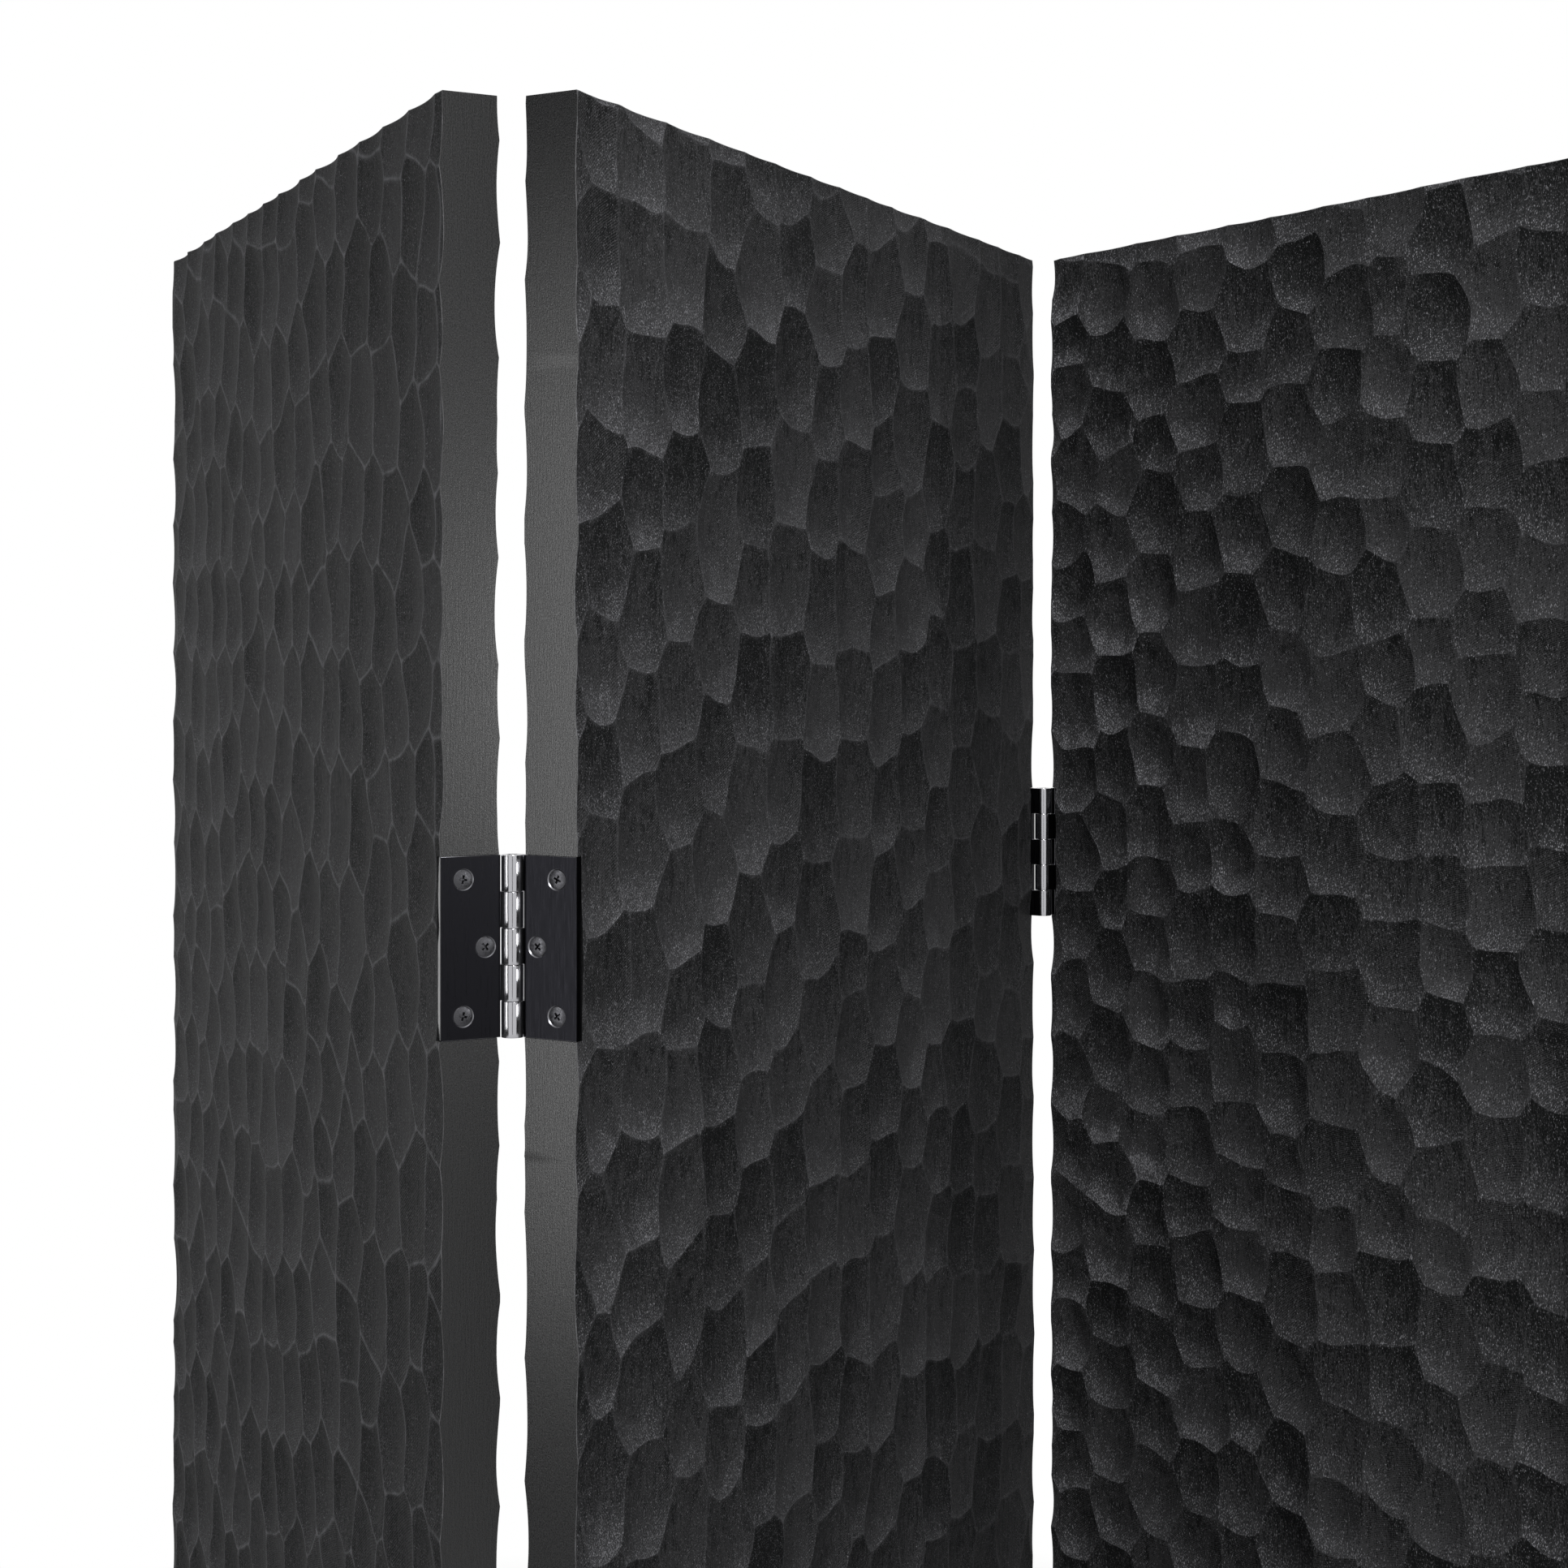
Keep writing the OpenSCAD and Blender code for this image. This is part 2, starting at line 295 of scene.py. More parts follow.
class CarvedFace:
    """The gouge cuts of one broad face, in the panel's x and z."""

    # Size of a cut beside the mean: most are alike, and one in ten is a small one
    USUAL_SIZE = (0.87, 1.13)
    SMALL_SIZE = (0.62, 0.8)
    SMALL_SHARE = 0.1
    # Height of a row of interlocking cuts, for each unit of the cuts' height
    ROW_RISE = 0.93
    # How much higher each column of cuts begins than the last, in cuts
    COLUMN_LEAD = 0.41
    # How far a cut reaches, and the margin round the panel in which cuts are still laid out
    REACH = 60 * MM
    MARGIN = 20 * MM

    def __init__(self, seed, panel):
        carving = bpy.context.scene.divider_carving
        wide, tall, sweep, self.exit_share, uneven = PANEL_CUTS[panel]
        self.dice = random.Random(seed)
        self.stretch = carving.cut_stretch * tall
        self.wander = carving.wander
        self.taper = PANEL_TAPER[panel]
        self.phases = [self.dice.uniform(0, 2 * math.pi) for _ in range(6)]
        width = carving.cut_width * wide
        spots = self.in_rows(width) if panel == "left" else self.in_columns(width)
        half = np.array([width / 2 * self.cut_size() for _ in spots])
        for _ in range(2):
            spots = self.settle(spots, half)
        count = len(spots)
        self.x, self.z = spots.T
        # A steeper cut eats into its flatter neighbours with a round rim
        self.radius = carving.sweep * sweep * np.exp(self.vary(count, uneven) - 1)
        # The hard last board of the center panel took only light cuts
        if panel == "center":
            self.radius *= np.where(self.x > BOARD_EDGES[-2], HARD_BOARD_SWEEP, 1.0)
        self.half = half
        self.depth = half ** 2 / (2 * self.radius) + carving.ridge_drop * self.vary(count, 0.4)
        turn = 0.3 * (self.vary(count, 1.0) - 1)
        self.cosine, self.sine = np.cos(turn), np.sin(turn)
        self.along = self.stretch * self.vary(count, 0.08)
        self.looks = np.array([[self.dice.random() for _ in range(3)] for _ in range(count)])

    def vary(self, count, spread):
        """Random factors round 1."""
        return np.array([self.dice.uniform(1 - spread, 1 + spread) for _ in range(count)])

    def cut_size(self):
        """A random size of a cut beside the mean."""
        small = self.dice.random() < self.SMALL_SHARE
        return self.dice.uniform(*(self.SMALL_SIZE if small else self.USUAL_SIZE))

    def in_rows(self, width):
        """Spots in uneven rows, each half a cut aside from the last, so that long cuts interlock."""
        rise = self.ROW_RISE * width * self.stretch
        spots = []
        for row in range(-1, math.ceil(PANEL_H / rise) + 1):
            aside = row % 2 / 2 + self.dice.uniform(-0.2, 0.2)
            for column in range(-1, math.ceil(PANEL_W / width) + 1):
                wave = math.sin(column * 0.8 + self.phases[0]) * math.sin(row * 0.5 + self.phases[1])
                x = (column + aside + self.dice.uniform(-0.17, 0.17)) * width
                z = (row + 0.55 * wave + self.dice.uniform(-0.34, 0.34)) * rise
                spots.append((x, z))
        return np.array(spots)

    def in_columns(self, width):
        """Spots in uneven columns, each begun at its own height, as a carver works down a board."""
        rise = width * self.stretch
        spots = []
        for column in range(-1, math.ceil(PANEL_W / width) + 1):
            lean = self.dice.uniform(0, 2 * math.pi)
            start = self.COLUMN_LEAD * column % 1 + self.dice.uniform(-0.1, 0.1)
            for row in range(-2, math.ceil(PANEL_H / rise) + 1):
                wave = 0.25 * math.sin(row * 0.45 + lean)
                x = (column + 0.5 + 0.8 * wave + self.dice.uniform(-0.16, 0.16)) * width
                z = (row + start + wave + self.dice.uniform(-0.22, 0.22)) * rise
                spots.append((x, z))
        return np.array(spots)

    def settle(self, spots, reach):
        """Moves each spot to the middle of the area that its cut takes from its neighbours."""
        step = 8 * MM
        wide = np.arange(-self.MARGIN, PANEL_W + self.MARGIN, step)
        tall = np.arange(-self.MARGIN, PANEL_H + self.MARGIN, step)
        x, z = (grid.ravel() for grid in np.meshgrid(wide, tall))
        across = x[:, None] - spots[None, :, 0]
        along = (z[:, None] - spots[None, :, 1]) / self.stretch
        owner = np.argmin(across ** 2 + along ** 2 - reach[None, :] ** 2, axis=1)
        count = np.bincount(owner, minlength=len(spots))
        share = np.maximum(count, 1)
        middle = np.stack([np.bincount(owner, side, minlength=len(spots)) / share for side in (x, z)], axis=1)
        return np.where(count[:, None] > 0, middle, spots)

    def wandered(self, x, z):
        """Shifts points a little, so that the ridges run as a hand-held gouge leaves them."""
        a, b, c, d, e, f = self.phases
        across = (0.5 * np.sin(z / (9.1 * MM) + a) + 0.3 * np.sin(z / (5.3 * MM) + x / (14 * MM) + b)
                  + 0.6 * np.sin(z / (17 * MM) - x / (11 * MM) + c))
        along = (0.5 * np.sin(x / (8.3 * MM) + d) + 0.3 * np.sin(x / (4.9 * MM) - z / (15 * MM) + e)
                 + 0.6 * np.sin(x / (15 * MM) + z / (13 * MM) + f))
        return x + self.wander * across, z + self.wander * along

    def in_cut(self, i, x, z):
        """Place of wandered points in cut i, across it and along it, as if it were round."""
        dx, dz = x - self.x[i], z - self.z[i]
        across = dx * self.cosine[i] + dz * self.sine[i]
        along = (dz * self.cosine[i] - dx * self.sine[i]) / self.along[i]
        # The gouge dips in wide and gently at the top, and lifts out narrow and short at the bottom
        across = across * np.sqrt(1 + self.taper * np.clip(-along / self.half[i], -0.3, 1.5))
        return across, along / np.where(along < 0, 1 - self.exit_share, 1 + self.exit_share)

    def height(self, i, x, z):
        """Height of cut i at wandered points, as if it were alone."""
        across, along = self.in_cut(i, x, z)
        return (across ** 2 + along ** 2) / (2 * self.radius[i]) - self.depth[i]

    def lowest(self, x, z):
        """Height of the carved face at each point, how much higher the next cut is, and the lowest cut."""
        x, z = self.wandered(x, z)
        order = np.argsort(z)
        x, z = x[order], z[order]
        # Far above any cut, where none has been met yet
        first = np.full(len(x), 1.0)
        second = np.full(len(x), 1.0)
        owner = np.zeros(len(x), int)
        starts = np.searchsorted(z, self.z - self.REACH)
        ends = np.searchsorted(z, self.z + self.REACH)
        near = (self.x > x.min() - self.REACH) & (self.x < x.max() + self.REACH)
        for i in np.nonzero(near)[0]:
            part = slice(starts[i], ends[i])
            height = self.height(i, x[part], z[part])
            old = first[part]
            second[part] = np.where(height < old, old, np.minimum(second[part], height))
            owner[part] = np.where(height < old, i, owner[part])
            first[part] = np.minimum(height, old)
        back = np.argsort(order)
        return first[back], (second - first)[back], owner[back]

    def ridge_shares(self, a, b, start, end):
        """Where the lines from start to end cross the ridges between cuts a and b, as shares of them."""
        low = np.zeros(len(a))
        high = np.ones(len(a))
        for _ in range(12):
            middle = (low + high) / 2
            x, z = self.wandered(*(start + (end - start) * middle[:, None]).T)
            before = self.height(a, x, z) < self.height(b, x, z)
            low = np.where(before, middle, low)
            high = np.where(before, high, middle)
        return np.clip((low + high) / 2, 0.03, 0.97)


def slice_board(board, point, normal):
    """Cuts one straight line right across the sheet."""
    geometry = board.verts[:] + board.edges[:] + board.faces[:]
    bmesh.ops.bisect_plane(board, geom=geometry, dist=1e-7, plane_co=point, plane_no=normal)


def cut_mortises(board, start, end, inner):
    """Takes the three leaf mortises out of the sheet between start and end across the panel."""
    slice_board(board, (inner, 0, 0), (1, 0, 0))
    for z in HINGE_Z.values():
        low = z - HINGE_L / 2 - MORTISE_GAP
        high = z + HINGE_L / 2 + MORTISE_GAP
        slice_board(board, (0, 0, low), (0, 0, 1))
        slice_board(board, (0, 0, high), (0, 0, 1))
        gone = []
        for face in board.faces:
            spot = face.calc_center_median()
            if start < spot.x < end and low < spot.z < high:
                gone.append(face)
        bmesh.ops.delete(board, geom=gone, context="FACES")


def board_blank(panel, left, right):
    """A plain board whose broad faces are cut into squares, with the mortises left out."""
    carving = bpy.context.scene.divider_carving
    across = max(2, round((right - left) / carving.mesh_step))
    upward = round(PANEL_H / carving.mesh_step)
    board = bmesh.new()
    bmesh.ops.create_grid(board, x_segments=across, y_segments=upward, size=0.5)
    stand = Matrix.Rotation(math.pi / 2, 4, "X")
    size = Matrix.Diagonal((right - left, 1, PANEL_H, 1))
    middle = Matrix.Translation(((left + right) / 2, -PANEL_T / 2, PANEL_H / 2))
    bmesh.ops.transform(board, matrix=middle @ size @ stand, verts=board.verts)
    for z in (carving.rim, PANEL_H - carving.rim):
        slice_board(board, (0, 0, z), (0, 0, 1))
    if left < MM:
        slice_board(board, (carving.rim, 0, 0), (1, 0, 0))
        if panel != "left":
            cut_mortises(board, 0, LEAF_T, LEAF_T)
    if right > PANEL_W - MM:
        slice_board(board, (PANEL_W - carving.rim, 0, 0), (1, 0, 0))
        if panel != "right":
            cut_mortises(board, PANEL_W - LEAF_T, PANEL_W, PANEL_W - LEAF_T)
    back = bmesh.ops.extrude_face_region(board, geom=board.faces[:], use_keep_orig=True)
    back_verts = [item for item in back["geom"] if isinstance(item, bmesh.types.BMVert)]
    bmesh.ops.translate(board, vec=(0, PANEL_T, 0), verts=back_verts)
    bmesh.ops.recalc_face_normals(board, faces=board.faces[:])
    return board


def cut_ridges(board, face, side_y):
    """Splits the mesh of one broad face of a board along the ridges, and returns its points."""
    verts = [v for v in board.verts if abs(v.co.y - side_y) < 1e-5]
    spots = np.array([(v.co.x, v.co.z) for v in verts])
    owner = dict(zip(verts, face.lowest(*spots.T)[2].tolist()))
    crossing = [e for e in board.edges if e.verts[0] in owner and e.verts[1] in owner
                and owner[e.verts[0]] != owner[e.verts[1]]]
    ends = np.array([[(v.co.x, v.co.z) for v in e.verts] for e in crossing])
    cuts = np.array([[owner[v] for v in e.verts] for e in crossing])
    shares = face.ridge_shares(cuts[:, 0], cuts[:, 1], ends[:, 0], ends[:, 1])
    ridge = [bmesh.utils.edge_split(e, e.verts[0], share)[1] for e, share in zip(crossing, shares)]
    bmesh.ops.connect_verts(board, verts=ridge)
    return verts + ridge


def near_edge(x, z, margin):
    """Which points of a panel's face are within a margin of its edges."""
    return (x < margin) | (x > PANEL_W - margin) | (z < margin) | (z > PANEL_H - margin)


def sink_side(verts, face, side_y, gap_layer):
    """Moves the points of a broad face to the depth of the cuts and keeps their height gap to a ridge."""
    carving = bpy.context.scene.divider_carving
    x, z = np.array([(v.co.x, v.co.z) for v in verts]).T
    height, gap, _ = face.lowest(x, z)
    inward = -math.copysign(1, side_y)
    height = np.minimum(height, 0) - np.where(near_edge(x, z, 1e-6), EASE_DROP * carving.rim, 0)
    for vert, drop, to_ridge in zip(verts, -height, gap):
        vert.co.y += inward * drop
        vert[gap_layer] = to_ridge / MM


# How far an eased edge is rubbed down, for each unit of its width
EASE_DROP = 0.6
# Places of the finishes among a board's materials
CARVED, PLANED, END_GRAIN, ARRIS = range(4)


def mark_board(board, sides, cut_layer):
    """Sets each face's material and cut, and keeps ridges and edges sharp."""
    carving = bpy.context.scene.divider_carving
    kind = {}
    for front in (True, False):
        faces = [f for f in board.faces if abs(f.normal.y) > 0.3 and (f.normal.y < 0) == front]
        x, z = np.array([f.calc_center_median().xz for f in faces]).T
        owner = sides[front].lowest(x, z)[2]
        for item, i, eased in zip(faces, owner.tolist(), near_edge(x, z, carving.rim)):
            item.material_index = ARRIS if eased else CARVED
            item[cut_layer] = (i + 1) if front else -(i + 1)
            kind[item] = (front, -1 if eased else i)
    for item in board.faces:
        item.smooth = True
        if item not in kind:
            item.material_index = END_GRAIN if abs(item.normal.z) > 0.5 else PLANED
            kind[item] = item.material_index
    for edge in board.edges:
        around = [kind[item] for item in edge.link_faces]
        edge.smooth = len(around) == 2 and around[0] == around[1]


def add_attribute(mesh, name, kind, domain, values):
    """Stores an array on a mesh for its material to read."""
    attribute = mesh.attributes.new(name, kind, domain)
    key = "vector" if kind == "FLOAT_VECTOR" else "value"
    attribute.data.foreach_set(key, np.ascontiguousarray(values, np.float32).ravel())


def store_looks(mesh, panel, index, sides):
    """Stores what the carved wood's material reads: place in panel, place in cut, and looks."""
    count = len(mesh.vertices)
    spots = np.zeros(count * 3, np.float32)
    mesh.vertices.foreach_get("co", spots)
    spots = spots.reshape(-1, 3)
    add_attribute(mesh, "panel_place", "FLOAT_VECTOR", "POINT", spots / PANEL_GRAIN[panel])
    tone = BOARD_TONES[index] + PANEL_PAINTED_SHADE[panel]
    tear_and_highlight = PANEL_TEAR_AND_HIGHLIGHT[panel] * BOARD_TEARS[index]
    board_look = np.tile([tone, PANEL_RIDGE_WEAR_AND_HIGHLIGHT[panel], tear_and_highlight], (count, 1))
    add_attribute(mesh, "board_look", "FLOAT_VECTOR", "POINT", board_look)
    across, upward = BOARD_RINGS[index]
    rings = spots[:, 0] * across + spots[:, 2] * upward
    add_attribute(mesh, "ring_lean", "FLOAT", "POINT", rings)
    cut = np.zeros(len(mesh.polygons), np.int32)
    mesh.attributes["cut"].data.foreach_get("value", cut)
    loop_verts = np.zeros(len(mesh.loops), np.int32)
    mesh.loops.foreach_get("vertex_index", loop_verts)
    totals = np.zeros(len(mesh.polygons), np.int32)
    mesh.polygons.foreach_get("loop_total", totals)
    loop_cut = np.repeat(cut, totals)
    place = np.zeros((len(loop_verts), 3))
    looks = np.zeros((len(cut), 3))
    for front in (True, False):
        face = sides[front]
        chosen = loop_cut > 0 if front else loop_cut < 0
        i = np.abs(loop_cut[chosen]) - 1
        x, z = face.wandered(spots[loop_verts[chosen], 0], spots[loop_verts[chosen], 2])
        across, along = face.in_cut(i, x, z)
        half = face.half[i]
        depth = (across ** 2 + along ** 2) / 2 / face.radius[i]
        place[chosen] = np.stack([across / half, along / half, depth], axis=1)
        chosen = cut > 0 if front else cut < 0
        looks[chosen] = face.looks[np.abs(cut[chosen]) - 1]
    add_attribute(mesh, "cut_place", "FLOAT_VECTOR", "CORNER", place)
    add_attribute(mesh, "cut_look", "FLOAT_VECTOR", "FACE", looks)


def carved_board(panel, index, sides):
    """One board of a panel with both broad faces gouged, as a mesh in the row frame."""
    board = board_blank(panel, BOARD_EDGES[index], BOARD_EDGES[index + 1])
    gap_layer = board.verts.layers.float.new("ridge_gap")
    cut_layer = board.faces.layers.int.new("cut")
    side_y = {True: -PANEL_T / 2, False: PANEL_T / 2}
    verts = {front: cut_ridges(board, sides[front], side_y[front]) for front in (True, False)}
    for front in (True, False):
        sink_side(verts[front], sides[front], side_y[front], gap_layer)
    board.normal_update()
    mark_board(board, sides, cut_layer)
    mesh = bpy.data.meshes.new(f"{panel}_board_{index + 1}_carved")
    board.to_mesh(mesh)
    board.free()
    store_looks(mesh, panel, index, sides)
    mesh.transform(panel_place(panel))
    mesh.update()
    return mesh


class OBJECT_OT_divider_boards(bpy.types.Operator):
    """Carves the fifteen boards of the three panels"""

    bl_idname = "object.divider_boards"
    bl_label = "Carved boards"

    def execute(self, context):
        carving = context.scene.divider_carving
        materials = [carved_wood(), planed_wood(), end_grain_wood(), rubbed_arris()]
        for p, panel in enumerate(PANELS):
            sides = {
                True: CarvedFace(carving.seed + 2 * p, panel),
                False: CarvedFace(carving.seed + 2 * p + 1, panel),
            }
            for i in range(BOARD_COUNT):
                node = f"{panel}_panel_board_{i + 1}"
                mesh = carved_board(panel, i, sides)
                add_piece(f"{node}_carved", mesh, materials, f"{panel}_panel", [node])
        return {"FINISHED"}


# Hinges


# Where a knuckle's strip ends on its way round the pin
ROLL_END = math.radians(279)
ROLL_STEPS = 40
# Corners sharper than this are softened by this much
SOFT_CORNER = math.radians(50)
LEAF_EASE = 0.16 * MM
# Edges sharper than this look hard
HARD_EDGE = math.radians(32)


def leaf_sheet(rows):
    """The exposed side of a leaf as a thin sheet: the plate, and a strip rolled round the pin in each row."""
    sheet = bmesh.new()
    bmesh.ops.create_grid(sheet, x_segments=1, y_segments=1, size=0.5)
    upright = Matrix.Rotation(-math.pi / 2, 4, "Y")
    plate_w = -FACE_GAP - LEAF_FAR
    size = Matrix.Diagonal((1, plate_w, HINGE_L, 1))
    middle = Matrix.Translation((END_GAP, (-FACE_GAP + LEAF_FAR) / 2, 0))
    bmesh.ops.transform(sheet, matrix=middle @ size @ upright, verts=sheet.verts)
    pitch = HINGE_L / KNUCKLES
    for row in range(1, KNUCKLES):
        for edge in (-KNUCKLE_GAP / 2, KNUCKLE_GAP / 2):
            slice_board(sheet, (0, 0, -HINGE_L / 2 + row * pitch + edge), (0, 0, 1))
    near = []
    for edge in sheet.edges:
        spot = (edge.verts[0].co + edge.verts[1].co) / 2
        row = math.floor((spot.z + HINGE_L / 2) / pitch)
        tall = abs(edge.verts[0].co.z - edge.verts[1].co.z)
        if abs(spot.y + FACE_GAP) < 1e-6 and tall > KNUCKLE_GAP * 2 and row in rows:
            near.append(edge)
    meet = math.sqrt(BORE_R ** 2 - END_GAP ** 2)
    start = math.atan2(-meet, END_GAP)
    neck = bmesh.ops.extrude_edge_only(sheet, edges=near)["geom"]
    neck_verts = [item for item in neck if isinstance(item, bmesh.types.BMVert)]
    bmesh.ops.translate(sheet, vec=(0, FACE_GAP - meet, 0), verts=neck_verts)
    lip = [item for item in neck if isinstance(item, bmesh.types.BMEdge)
           and all(vert in neck_verts for vert in item.verts)]
    bmesh.ops.spin(sheet, geom=lip, cent=(0, 0, 0), axis=(0, 0, 1), angle=ROLL_END - start,
                   steps=ROLL_STEPS, use_duplicate=False)
    bmesh.ops.remove_doubles(sheet, verts=sheet.verts[:], dist=1e-6)
    return sheet


def solid_leaf(rows):
    """A leaf with its thickness and softened edges, as a mesh in the hinge frame."""
    leaf = leaf_sheet(rows)
    bmesh.ops.recalc_face_normals(leaf, faces=leaf.faces[:])
    plate = next(face for face in leaf.faces if face.calc_center_median().y < -FACE_GAP)
    if plate.normal.x > 0:
        bmesh.ops.reverse_faces(leaf, faces=leaf.faces[:])
    bmesh.ops.solidify(leaf, geom=leaf.faces[:], thickness=LEAF_T)
    bmesh.ops.recalc_face_normals(leaf, faces=leaf.faces[:])
    sharp = [edge for edge in leaf.edges if edge.calc_face_angle(0) > SOFT_CORNER]
    bmesh.ops.bevel(leaf, geom=sharp, offset=LEAF_EASE, offset_type="OFFSET", segments=2, profile=0.5,
                    affect="EDGES", material=-1, clamp_overlap=True)
    for face in leaf.faces:
        face.smooth = True
    mesh = bpy.data.meshes.new("leaf")
    leaf.to_mesh(mesh)
    leaf.free()
    return mesh


def screw_hole_cutter():
    """Cones and shanks that open the three countersunk holes of a leaf."""
    cutter = bmesh.new()
    rim = HEAD_R + SCREW_SINK + SCREW_GAP
    hole = SHANK_R + SCREW_GAP
    over = 0.4 * MM
    for y, z in SCREW_SPOTS:
        at = Matrix.Translation((END_GAP, y, z)) @ Matrix.Rotation(math.pi / 2, 4, "Y")
        cone = at @ Matrix.Translation((0, 0, (rim - hole - over) / 2))
        bmesh.ops.create_cone(cutter, cap_ends=True, segments=48, radius1=rim + over, radius2=hole,
                              depth=rim - hole + over, matrix=cone)
        shank = at @ Matrix.Translation((0, 0, LEAF_T))
        bmesh.ops.create_cone(cutter, cap_ends=True, segments=48, radius1=hole, radius2=hole,
                              depth=LEAF_T * 2, matrix=shank)
    mesh = bpy.data.meshes.new("screw_holes")
    cutter.to_mesh(mesh)
    cutter.free()
    return mesh


def difference(mesh, cutter_mesh):
    """The mesh with the cutter's shapes taken out."""
    scene = bpy.context.scene
    body = bpy.data.objects.new("body", mesh)
    cutter = bpy.data.objects.new("cutter", cutter_mesh)
    scene.collection.objects.link(body)
    scene.collection.objects.link(cutter)
    cut = body.modifiers.new("cut", "BOOLEAN")
    cut.operation = "DIFFERENCE"
    cut.solver = "EXACT"
    cut.use_self = True
    cut.object = cutter
    bpy.context.view_layer.update()
    result = bpy.data.meshes.new_from_object(body.evaluated_get(bpy.context.evaluated_depsgraph_get()))
    bpy.data.objects.remove(body)
    bpy.data.objects.remove(cutter)
    return result


# Places of the finishes among a leaf's materials
PLATE, BARREL, WORN_EDGE = range(3)
# A worn edge is a small face that leans, and isn't at the hidden far edge of the leaf
WORN_AREA = 60e-6
WORN_LEAN = (0.3, 0.995)


def mark_leaf(mesh):
    """Gives plate, barrel and worn edges their finish, and keeps hard edges hard."""
    leaf = bmesh.new()
    leaf.from_mesh(mesh)
    bmesh.ops.remove_doubles(leaf, verts=leaf.verts[:], dist=1e-7)
    outer_edge = LEAF_FAR + 0.5 * MM
    for face in leaf.faces:
        spot = face.calc_center_median()
        leans = WORN_LEAN[0] < max(abs(part) for part in face.normal) < WORN_LEAN[1]
        if math.hypot(spot.x, spot.y) < BARREL_R + 0.05 * MM and spot.y > -FACE_GAP + 0.3 * MM:
            face.material_index = BARREL
        elif face.calc_area() < WORN_AREA and leans and spot.y > outer_edge:
            face.material_index = WORN_EDGE
        face.smooth = abs(face.normal.x) < 0.999 or face.material_index == BARREL
    for edge in leaf.edges:
        edge.smooth = edge.calc_face_angle(0) < HARD_EDGE
    leaf.to_mesh(mesh)
    leaf.free()


def spun(profile, steps):
    """A closed solid turned round the x axis from points of (x, radius)."""
    solid = bmesh.new()
    verts = [solid.verts.new((x, radius, 0)) for x, radius in profile]
    edges = [solid.edges.new(pair) for pair in zip(verts, verts[1:])]
    bmesh.ops.spin(solid, geom=verts + edges, cent=(0, 0, 0), axis=(1, 0, 0), angle=2 * math.pi,
                   steps=steps, use_merge=True)
    bmesh.ops.remove_doubles(solid, verts=solid.verts[:], dist=1e-6)
    bmesh.ops.recalc_face_normals(solid, faces=solid.faces[:])
    return solid


def hinge_pin():
    """A pin on z with eased ends, as a mesh in the hinge frame."""
    ease = 0.3 * MM
    end = HINGE_L / 2
    solid = spun([(-end, 0), (-end, PIN_R - ease), (-end + ease, PIN_R),
                  (end - ease, PIN_R), (end, PIN_R - ease), (end, 0)], 48)
    mesh = bpy.data.meshes.new("pin")
    solid.to_mesh(mesh)
    solid.free()
    mesh.transform(Matrix.Rotation(-math.pi / 2, 4, "Y"))
    return mesh


def one_screw():
    """A countersunk wood screw along +x with a cross recess, the top of its head at x = 0."""
    ease = 0.3 * MM
    head = HEAD_R - SHANK_R
    profile = [
        (0, 0), (0, HEAD_R - ease), (0.08 * MM, HEAD_R - 0.08 * MM), (ease, HEAD_R - ease * 0.9),
        (head, SHANK_R), (SCREW_L - SCREW_TIP, SHANK_R), (SCREW_L - 0.2 * MM, 0.15 * MM), (SCREW_L, 0),
    ]
    solid = spun(profile, 48)
    mesh = bpy.data.meshes.new("screw")
    solid.to_mesh(mesh)
    solid.free()
    recess = bmesh.new()
    above = 1 * MM
    arm_size = Matrix.Diagonal((RECESS_DEEP + above, RECESS_SLOT, RECESS_W, 1))
    for turn in (0, math.pi / 2):
        sunk = Matrix.Rotation(turn, 4, "X") @ Matrix.Translation(((RECESS_DEEP - above) / 2, 0, 0))
        arm = bmesh.ops.create_cube(recess, size=1, matrix=sunk @ arm_size)
        for vert in arm["verts"]:
            if vert.co.x > 0:
                vert.co.y *= 0.55
                vert.co.z *= 0.55
    cutter = bpy.data.meshes.new("recess")
    recess.to_mesh(cutter)
    recess.free()
    return difference(mesh, cutter)


def place_copy(source, name, matrix):
    """A copy of a mesh, moved into place, with its faces outward also after a mirror."""
    mesh = source.copy()
    mesh.name = name
    mesh.transform(matrix)
    if matrix.determinant() < 0:
        mesh.flip_normals()
    return mesh


def joined(meshes, name):
    """Several meshes as one."""
    whole = bmesh.new()
    for mesh in meshes:
        whole.from_mesh(mesh)
    for face in whole.faces:
        face.smooth = True
    for edge in whole.edges:
        edge.smooth = edge.calc_face_angle(0) < HARD_EDGE
    result = bpy.data.meshes.new(name)
    whole.to_mesh(result)
    whole.free()
    return result


